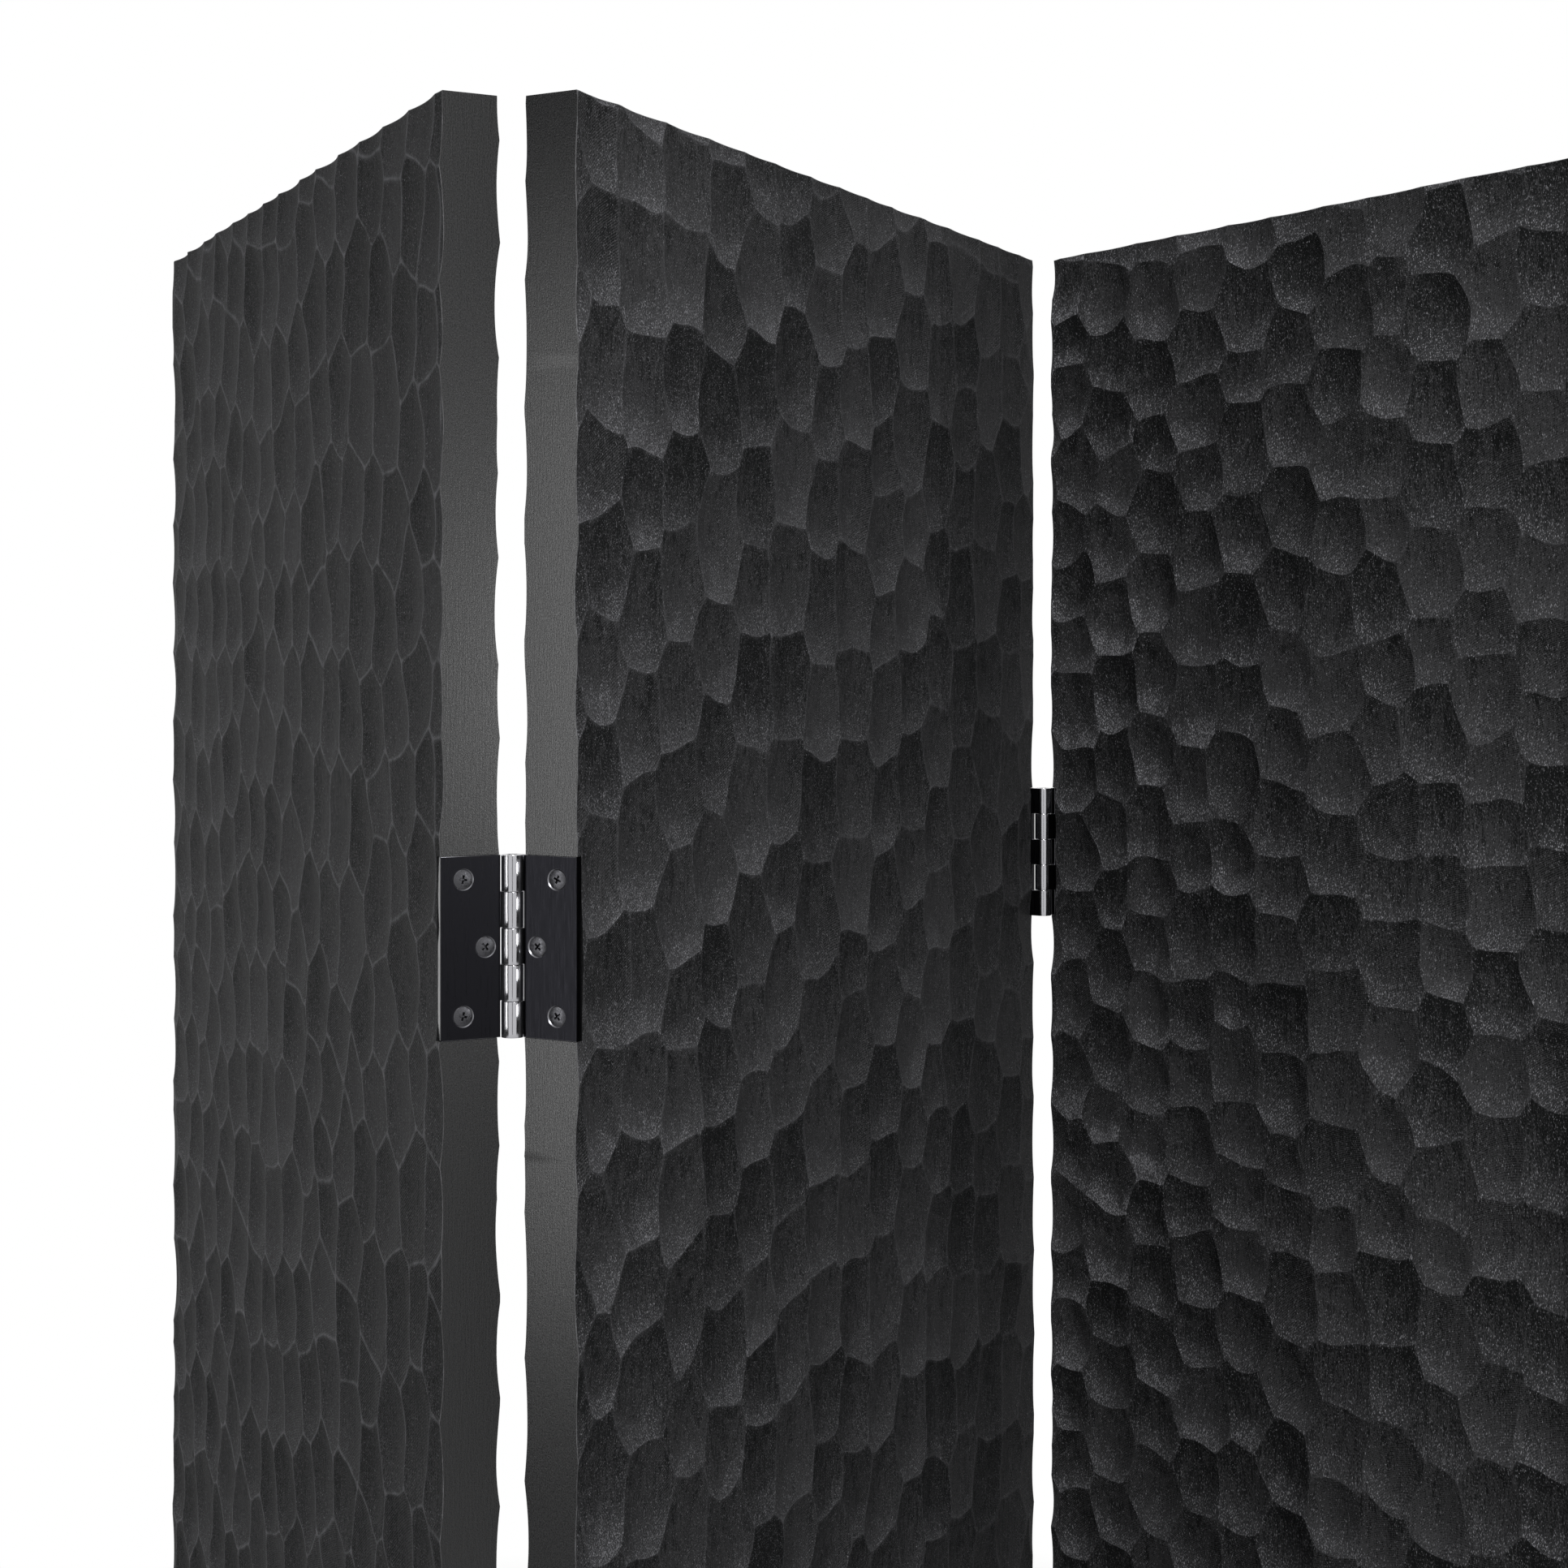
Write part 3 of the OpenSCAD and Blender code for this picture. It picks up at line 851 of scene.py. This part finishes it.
class OBJECT_OT_divider_hinges(bpy.types.Operator):
    """Makes the leaves, pins and screws of the six butt hinges"""

    bl_idname = "object.divider_hinges"
    bl_label = "Butt hinges"

    def execute(self, context):
        dice = random.Random(5)
        holes = screw_hole_cutter()
        leaves = {}
        for side, rows in (("center", range(0, KNUCKLES, 2)), ("side", range(1, KNUCKLES, 2))):
            leaves[side] = difference(solid_leaf(rows), holes)
            mark_leaf(leaves[side])
        screw = one_screw()
        pin = hinge_pin()
        leaf_finish = [black_nickel(), polished_nickel(), worn_nickel()]
        screw_finish = [screw_steel()]
        pin_finish = [polished_nickel()]
        for line in LINES:
            for place in PLACES:
                for side in ("center", "side"):
                    name = f"{line}_{place}_hinge_{side}"
                    body = "center_panel" if side == "center" else f"{line}_panel"
                    matrix = hinge_place(line, side, place)
                    rolled = f"{name}_leaf_rolled"
                    leaf = place_copy(leaves[side], rolled, matrix)
                    add_piece(rolled, leaf, leaf_finish, body, [f"{name}_leaf"])
                    screws = []
                    for y, z in SCREW_SPOTS:
                        turn = Matrix.Rotation(dice.uniform(0, math.pi), 4, "X")
                        spot = Matrix.Translation((END_GAP + SCREW_SINK, y, z))
                        screws.append(place_copy(screw, "screw", matrix @ spot @ turn))
                    driven = f"{name}_screws_driven"
                    whole = joined(screws, driven)
                    add_piece(driven, whole, screw_finish, body, [f"{name}_screws"])
                name = f"{line}_{place}_hinge_pin"
                turned = f"{name}_turned"
                whole = joined([place_copy(pin, "pin", hinge_place(line, "center", place))], turned)
                add_piece(turned, whole, pin_finish, "center_panel", [name])
        return {"FINISHED"}


# Finishes


def feature(across, upward):
    """What turns metres into units of a pattern whose features are this big across and upwards."""
    return (1 / across, 1 / across, 1 / upward)


def carved_wood():
    """Hardwood cut with a gouge and stained black: torn fibres, open pores and rubbed ridges."""
    wood = bpy.context.scene.divider_wood
    material = bpy.data.materials.new("gouged hardwood, black stain")
    add = empty_tree(material)
    place = add("Attribute", output="Vector", attribute_name="panel_place")
    gap = add("Attribute", output="Fac", attribute_name="ridge_gap")
    lean = add("Attribute", output="Fac", attribute_name="ring_lean")
    board_look = add("Attribute", output="Vector", attribute_name="board_look")
    tone, ridge_wear_and_highlight, tear_and_highlight = add("SeparateXYZ", board_look).node.outputs
    cut_place = add("Attribute", output="Vector", attribute_name="cut_place")
    _, along, depth = add("SeparateXYZ", cut_place).node.outputs
    cut_look = add("Attribute", output="Vector", attribute_name="cut_look")
    look_a, look_b, look_c = add("SeparateXYZ", cut_look).node.outputs

    # Wood fibres run upwards: streaks under 1 mm wide and 8 mm long
    scaled = add("VectorMath", place, feature(0.8 * MM, 8 * MM), operation="MULTIPLY")
    fibres = add("TexNoise", scaled, 1.0, 2.0, 0.6)
    # Broad uneven uptake of the stain, 15 mm wide and 120 mm long
    scaled = add("VectorMath", place, feature(15 * MM, 120 * MM), operation="MULTIPLY")
    clouds = add("TexNoise", scaled, 1.0, 2.0, 0.5)
    # The tool's tearing comes and goes in patches 5 mm wide and 9 mm long
    scaled = add("VectorMath", place, feature(5 * MM, 9 * MM), operation="MULTIPLY")
    patches = add("TexNoise", scaled, 1.0, 3.0, 0.6)
    # Fibre ends and pores: a fine grain of dots a third of a millimetre wide
    scaled = add("VectorMath", place, feature(0.34 * MM, 0.75 * MM), operation="MULTIPLY")
    grain = add("TexNoise", scaled, 1.0, 1.0, 0.6)

    # Year rings are layers 0.28 mm thick that lean through the board, so they crop out in some cuts as
    # fine lines about 1 mm apart, which the hollow of the cut bends
    ring_pitch = 0.28 * MM
    phase = add("Math", depth, 0.30, lean, operation="MULTIPLY_ADD")
    phase = add("Math", phase, 2 * math.pi / ring_pitch, operation="MULTIPLY")
    lines = add("MapRange", add("Math", phase, operation="SINE"), 0.0, 1.0)
    some_cuts = add("MapRange", look_a, 0.4, 0.55)
    shows_rings = add("Math", some_cuts, add("MapRange", patches, 0.3, 0.5), operation="MULTIPLY")
    shows_rings = add("Math", shows_rings, add("Math", ridge_wear_and_highlight, 0.35, operation="MULTIPLY"), operation="MAXIMUM")
    ring_light = add("Math", lines, shows_rings, operation="MULTIPLY")

    # The gouge leaves each cut at its lower end, where it lifts the fibres, in some cuts more than others;
    # the lower end, which faces up into the light, also gets a painted highlight
    uneven = add("MapRange", patches, 0.3, 0.7, -0.45, 0.45)
    lower_end = add("MapRange", add("Math", along, uneven, operation="ADD"), 0.1, -0.9)
    torn_and_lit = add("Math", lower_end, 0.85, 0.15, operation="MULTIPLY_ADD")
    torn_and_lit = add("Math", torn_and_lit, tear_and_highlight, operation="MULTIPLY")
    torn_and_lit = add("Math", torn_and_lit, add("MapRange", look_b, 0.0, 1.0, 0.55, 1.0), operation="MULTIPLY")
    threshold = add("MapRange", torn_and_lit, 0.0, 1.0, 0.67, 0.51)
    specks = add("MapRange", add("Math", grain, threshold, operation="SUBTRACT"), 0.0, 0.10)

    # Ridges lighter up to half a millimetre down from them, in patches: rubbed wear, and a painted highlight
    # where the crests catch the light, set per panel
    ridge = add("MapRange", gap, 0.0, 0.5, 1.0, 0.0)
    ridge = add("Math", ridge, ridge, operation="MULTIPLY")
    rubbed = add("Math", ridge, ridge_wear_and_highlight, operation="MULTIPLY")
    rubbed = add("Math", rubbed, add("MapRange", patches, 0.25, 0.7, 0.15, 1.0), operation="MULTIPLY")
    # Painted shade at the top of a cut, under the ridge above it, where its upper wall faces down
    painted_shade = add("MapRange", along, 0.25, 1.05)

    level = add("Math", tone, 0.75, operation="MULTIPLY")
    for shade in (
        add("MapRange", look_c, 0.0, 1.0, -0.32, 0.32),
        add("MapRange", fibres, 0.3, 0.7, -0.48, 0.48),
        add("MapRange", grain, 0.3, 0.7, -0.85, 0.85),
        add("MapRange", clouds, 0.3, 0.7, -0.12, 0.12),
        add("Math", uneven, tear_and_highlight, operation="MULTIPLY"),
        add("Math", ring_light, 1.2, operation="MULTIPLY"),
        add("Math", painted_shade, -0.35, operation="MULTIPLY"),
    ):
        level = add("Math", level, shade, operation="ADD")
    stain = add("Mix", level, linear(wood.stain_dark), linear(wood.stain), data_type="RGBA")
    # Painted highlight: ridge crests and the upward-facing lower ends of the cuts are mixed towards the worn
    # colour, together with rubbed ridges and lifted fibres
    light = add("Math", specks, 0.85, operation="MULTIPLY")
    light = add("Math", light, add("Math", rubbed, 0.5, operation="MULTIPLY"), operation="MAXIMUM")
    light = add("Math", torn_and_lit, 0.16, light, operation="MULTIPLY_ADD")

    height = add("Math", fibres, 0.6, operation="MULTIPLY")
    height = add("Math", grain, 0.4, height, operation="MULTIPLY_ADD")
    height = add("Math", ring_light, 0.2, height, operation="MULTIPLY_ADD")
    shader = add("BsdfPrincipled", named={
        "Base Color": add("Mix", light, stain, linear(wood.worn), data_type="RGBA"),
        "Roughness": add("MapRange", specks, 0.0, 1.0, 0.55, 0.85),
        # Oiled and matt: next to no gloss
        "Specular IOR Level": 0.01,
        "Normal": add("Bump", named={"Strength": 0.9, "Distance": 0.35 * MM, "Height": height}),
    })
    add("OutputMaterial", shader)
    return material


def planed_wood():
    """The same wood planed on the panels' ends, stained and rubbed to a satin that takes soft light."""
    wood = bpy.context.scene.divider_wood
    material = bpy.data.materials.new("planed hardwood, black stain")
    add = empty_tree(material)
    place = add("Attribute", output="Vector", attribute_name="panel_place")
    # Upright grain, 0.7 mm wide and 9 mm long, in clouds of uneven stain 7 mm wide and 25 mm long
    scaled = add("VectorMath", place, feature(0.7 * MM, 9 * MM), operation="MULTIPLY")
    grain = add("TexNoise", scaled, 1.0, 2.0, 0.6)
    scaled = add("VectorMath", place, feature(7 * MM, 25 * MM), operation="MULTIPLY")
    clouds = add("TexNoise", scaled, 1.0, 3.0, 0.6)
    # Open pores that hold sanding dust: dots half a millimetre wide
    scaled = add("VectorMath", place, feature(0.5 * MM, 0.8 * MM), operation="MULTIPLY")
    pores = add("TexNoise", scaled, 1.0, 1.0, 0.6)

    level = add("MapRange", grain, 0.3, 0.7, 0.1, 0.5)
    level = add("Math", level, add("MapRange", clouds, 0.3, 0.7, -0.25, 0.25), operation="ADD")
    level = add("Math", level, add("MapRange", pores, 0.35, 0.75, 0.0, 1.3), operation="ADD")
    height = add("Math", grain, pores, operation="ADD")
    shader = add("BsdfPrincipled", named={
        "Base Color": add("Mix", level, linear(wood.stain_dark), linear(wood.planed), data_type="RGBA"),
        "Roughness": add("MapRange", pores, 0.3, 0.7, 0.20, 0.34),
        "Normal": add("Bump", named={"Strength": 0.4, "Distance": 0.08 * MM, "Height": height}),
    })
    add("OutputMaterial", shader)
    return material


def end_grain_wood():
    """Sawn and sanded end grain at the top and bottom, which drinks the stain and stays matt."""
    wood = bpy.context.scene.divider_wood
    material = bpy.data.materials.new("sawn end grain, black stain")
    add = empty_tree(material)
    place = add("Attribute", output="Vector", attribute_name="panel_place")
    # Open vessels, dots 0.8 mm wide
    scaled = add("VectorMath", place, feature(0.8 * MM, 0.8 * MM), operation="MULTIPLY")
    pores = add("TexNoise", scaled, 1.0, 2.0, 0.5)
    shader = add("BsdfPrincipled", named={
        "Base Color": add("Mix", pores, linear(wood.stain_dark), linear(wood.stain), data_type="RGBA"),
        "Roughness": 0.75,
    })
    add("OutputMaterial", shader)
    return material


def rubbed_arris():
    """The eased edges of a panel, where handling has rubbed through the stain in patches."""
    wood = bpy.context.scene.divider_wood
    material = bpy.data.materials.new("rubbed arris, black stain")
    add = empty_tree(material)
    place = add("Attribute", output="Vector", attribute_name="panel_place")
    # Patches 6 mm wide and 9 mm long
    scaled = add("VectorMath", place, feature(6 * MM, 9 * MM), operation="MULTIPLY")
    patches = add("TexNoise", scaled, 1.0, 4.0, 0.7)
    worn = add("MapRange", patches, 0.45, 0.75, 0.0, 0.45)
    shader = add("BsdfPrincipled", named={
        "Base Color": add("Mix", worn, linear(wood.stain), linear(wood.worn), data_type="RGBA"),
        "Roughness": 0.5,
    })
    add("OutputMaterial", shader)
    return material


def metal(name, colour, gloss, scratch_size, scratch_depth):
    """A plated steel whose scratches from finishing show as gloss that varies between two roughnesses."""
    material = bpy.data.materials.new(name)
    add = empty_tree(material)
    place = add("TexCoord", output="Object")
    scaled = add("VectorMath", place, [1 / size for size in scratch_size], operation="MULTIPLY")
    scratches = add("TexNoise", scaled, 1.0, 3.0, 0.6)
    shader = add("BsdfPrincipled", named={
        "Base Color": linear(colour),
        "Metallic": 1.0,
        "Roughness": add("MapRange", scratches, 0.3, 0.7, *gloss),
        "Normal": add("Bump", named={"Strength": 0.4, "Distance": scratch_depth, "Height": scratches}),
    })
    add("OutputMaterial", shader)
    return material


def black_nickel():
    """Black-nickel plated steel, linished: a dark leaf with fine brushing that softens what it mirrors."""
    colour = bpy.context.scene.divider_metal.black_nickel
    brushing = (0.7 * MM, 0.7 * MM, 12 * MM)
    return metal("black nickel plate, linished", colour, (0.24, 0.38), brushing, 0.03 * MM)


def polished_nickel():
    """Nickel polished on the wheel: the barrels mirror the studio as hard upright stripes."""
    colour = bpy.context.scene.divider_metal.polished
    return metal("nickel, polished", colour, (0.08, 0.16), (2.0 * MM, 2.0 * MM, 0.6 * MM), 0.004 * MM)


def worn_nickel():
    """Edges where the black plating has worn to bright nickel."""
    colour = bpy.context.scene.divider_metal.worn
    return metal("nickel, worn edge", colour, (0.25, 0.40), (0.8 * MM, 0.8 * MM, 0.8 * MM), 0.02 * MM)


def screw_steel():
    """Blackened screw steel, scuffed by the driver."""
    colour = bpy.context.scene.divider_metal.screw
    return metal("screw steel, blackened", colour, (0.22, 0.45), (0.7 * MM, 0.7 * MM, 0.7 * MM), 0.05 * MM)


# Stage

# The floor fades to white between these distances from the middle of the screen
FLOOR_R = 30.0
FLOOR_GAP = 0.1 * MM
FLOOR_FADE = (1.3, 3.0)
# The curtains hang on a round rail, along arcs given in degrees from the view's right towards the camera
CURTAIN_R = 3.0
CURTAIN_H = 3.4
CURTAIN_ARCS = ((8, 50), (86, 91), (126, 172))
CURTAIN_STEPS = 12
CURTAIN_COLOUR = "202020"
# Strength of the world's own light
WORLD_LIGHT = 0.2
# Soft boxes: name, place and aim in metres to the right, forward and up from the foot of the screen's
# middle, width and height, and watts
LAMPS = (
    # The main light, above the camera
    ("high_box", (0.35, -1.95, 2.94), (0.1, 0, 1.4), (0.64, 0.5), 58),
    # A strip behind the left panel, which rakes its carving
    ("edge_box", (-1.8, 1.35, 1.45), (-0.3, 0, 1.35), (0.6, 1.2), 6.0),
    # Two boxes that the planed ends mirror
    ("left_box", (-1.86, -1.42, 1.40), (-0.1, -0.3, 1.4), (0.4, 1.3), 10),
    ("right_box", (1.6, -1.5, 1.54), (-0.1, -0.3, 1.54), (0.45, 0.45), 5.8),
)


def view_axes(scene):
    """The level directions of the view: forward and to the right."""
    heading = scene.divider_studio.heading
    forward = Vector((math.sin(heading), math.cos(heading), 0))
    return forward, Vector((forward.y, -forward.x, 0))


def make_camera(scene):
    """The photograph's view: level, with the lens shifted down so that upright edges stay upright."""
    studio = scene.divider_studio
    forward, right = view_axes(scene)
    spot = Vector((PIN_X, PIN_Y, 0)) - studio.pin_away * forward - studio.pin_aside * right
    spot.z = PANEL_H - studio.below_top
    camera = bpy.data.objects.new("camera", bpy.data.cameras.new("camera"))
    camera.data.lens = studio.lens
    camera.data.sensor_width = 36
    camera.data.shift_y = studio.shift_down
    camera.data.clip_start = 10 * MM
    camera.location = spot
    camera.rotation_euler = forward.to_track_quat("-Z", "Y").to_euler()
    scene.collection.objects.link(camera)
    scene.camera = camera


def seen_directly(add):
    """One where a ray from the camera, a mirror image or a view through glass meets the surface."""
    path = add("LightPath").node.outputs
    seen = add("Math", path["Is Camera Ray"], path["Is Glossy Ray"], operation="MAXIMUM")
    return add("Math", seen, path["Is Transmission Ray"], operation="MAXIMUM")


def add_stage(scene, shape, name, material):
    """Links a piece of the studio, which isn't part of the room divider."""
    mesh = bpy.data.meshes.new(name)
    shape.to_mesh(mesh)
    shape.free()
    mesh.materials.append(material)
    piece = bpy.data.objects.new(name, mesh)
    scene.collection.objects.link(piece)
    return piece


def make_floor(scene):
    """A round pale floor that turns to plain white away from the screen."""
    floor = bmesh.new()
    bmesh.ops.create_circle(floor, cap_ends=True, segments=96, radius=FLOOR_R)
    bmesh.ops.translate(floor, vec=(0, 0, -FLOOR_GAP), verts=floor.verts)
    material = bpy.data.materials.new("painted studio floor")
    add = empty_tree(material)
    away = add("VectorMath", add("TexCoord", output="Object"), operation="LENGTH")
    fade = add("MapRange", away, *FLOOR_FADE)
    share = add("Math", fade, seen_directly(add), operation="MULTIPLY")
    paint = add("BsdfPrincipled", named={"Base Color": linear(scene.divider_studio.floor), "Roughness": 0.6})
    white = add("Emission", (1, 1, 1, 1), 1.0)
    add("OutputMaterial", add("MixShader", share, paint, white))
    add_stage(scene, floor, "floor", material)


def make_curtain(scene):
    """The unlit side of the studio: black curtains round the camera and at both sides, out of its sight."""
    forward, right = view_axes(scene)
    curtain = bmesh.new()
    rail = []
    for start, end in CURTAIN_ARCS:
        feet = []
        for step in range(CURTAIN_STEPS + 1):
            angle = math.radians(start + (end - start) * step / CURTAIN_STEPS)
            spot = right * math.cos(angle) * CURTAIN_R - forward * math.sin(angle) * CURTAIN_R
            feet.append(curtain.verts.new((spot.x, spot.y, 0)))
        rail += [curtain.edges.new(pair) for pair in zip(feet, feet[1:])]
    top = bmesh.ops.extrude_edge_only(curtain, edges=rail)["geom"]
    top_verts = [item for item in top if isinstance(item, bmesh.types.BMVert)]
    bmesh.ops.translate(curtain, vec=(0, 0, CURTAIN_H), verts=top_verts)
    material = bpy.data.materials.new("black studio curtain")
    add = empty_tree(material)
    cloth = add("BsdfPrincipled", named={"Base Color": linear(CURTAIN_COLOUR), "Roughness": 0.95})
    add("OutputMaterial", cloth)
    add_stage(scene, curtain, "curtain", material).visible_camera = False


def make_lights(scene):
    """Soft boxes that rake the carving and show in the planed ends, out of the camera's sight."""
    forward, right = view_axes(scene)
    for name, spot, aim, size, watts in LAMPS:
        data = bpy.data.lights.new(name, "AREA")
        data.shape = "RECTANGLE"
        data.size, data.size_y = size
        data.energy = watts
        lamp = bpy.data.objects.new(name, data)
        lamp.visible_camera = False
        lamp.location = right * spot[0] + forward * spot[1] + Vector((0, 0, spot[2]))
        target = right * aim[0] + forward * aim[1] + Vector((0, 0, aim[2]))
        lamp.rotation_euler = (target - lamp.location).to_track_quat("-Z", "Y").to_euler()
        scene.collection.objects.link(lamp)


def make_world(scene):
    """White where it is seen, and an even grey for the light that it gives."""
    world = bpy.data.worlds.new("studio")
    add = empty_tree(world)
    level = add("MapRange", seen_directly(add), 0.0, 1.0, WORLD_LIGHT, 1.0)
    add("OutputWorld", add("Background", (1, 1, 1, 1), level))
    scene.world = world


class OBJECT_OT_divider_stage(bpy.types.Operator):
    """Sets up the floor, the lights, the background and the camera"""

    bl_idname = "object.divider_stage"
    bl_label = "Studio"

    def execute(self, context):
        make_camera(context.scene)
        make_floor(context.scene)
        make_curtain(context.scene)
        make_lights(context.scene)
        make_world(context.scene)
        context.scene.view_settings.view_transform = "Standard"
        return {"FINISHED"}


class VIEW3D_PT_divider(bpy.types.Panel):
    """Buttons for the parts of the room divider"""

    bl_idname = "VIEW3D_PT_divider"
    bl_label = "Room divider"
    bl_space_type = "VIEW_3D"
    bl_region_type = "UI"
    bl_category = "Room Divider"

    def draw(self, context):
        for operator in OPERATORS:
            self.layout.operator(operator.bl_idname)


SETTINGS = {
    "divider_carving": DividerCarving,
    "divider_wood": DividerWood,
    "divider_metal": DividerMetal,
    "divider_studio": DividerStudio,
}
OPERATORS = (OBJECT_OT_divider_stage, OBJECT_OT_divider_boards, OBJECT_OT_divider_hinges)


def register():
    for name, group in SETTINGS.items():
        bpy.utils.register_class(group)
        setattr(bpy.types.Scene, name, bpy.props.PointerProperty(type=group))
    for operator in OPERATORS:
        bpy.utils.register_class(operator)
    bpy.utils.register_class(VIEW3D_PT_divider)


def unregister():
    bpy.utils.unregister_class(VIEW3D_PT_divider)
    for operator in reversed(OPERATORS):
        bpy.utils.unregister_class(operator)
    for name, group in SETTINGS.items():
        delattr(bpy.types.Scene, name)
        bpy.utils.unregister_class(group)


def main():
    register()
    bpy.ops.object.divider_stage()
    bpy.ops.object.divider_boards()
    bpy.ops.object.divider_hinges()


if __name__ == "__main__":
    main()
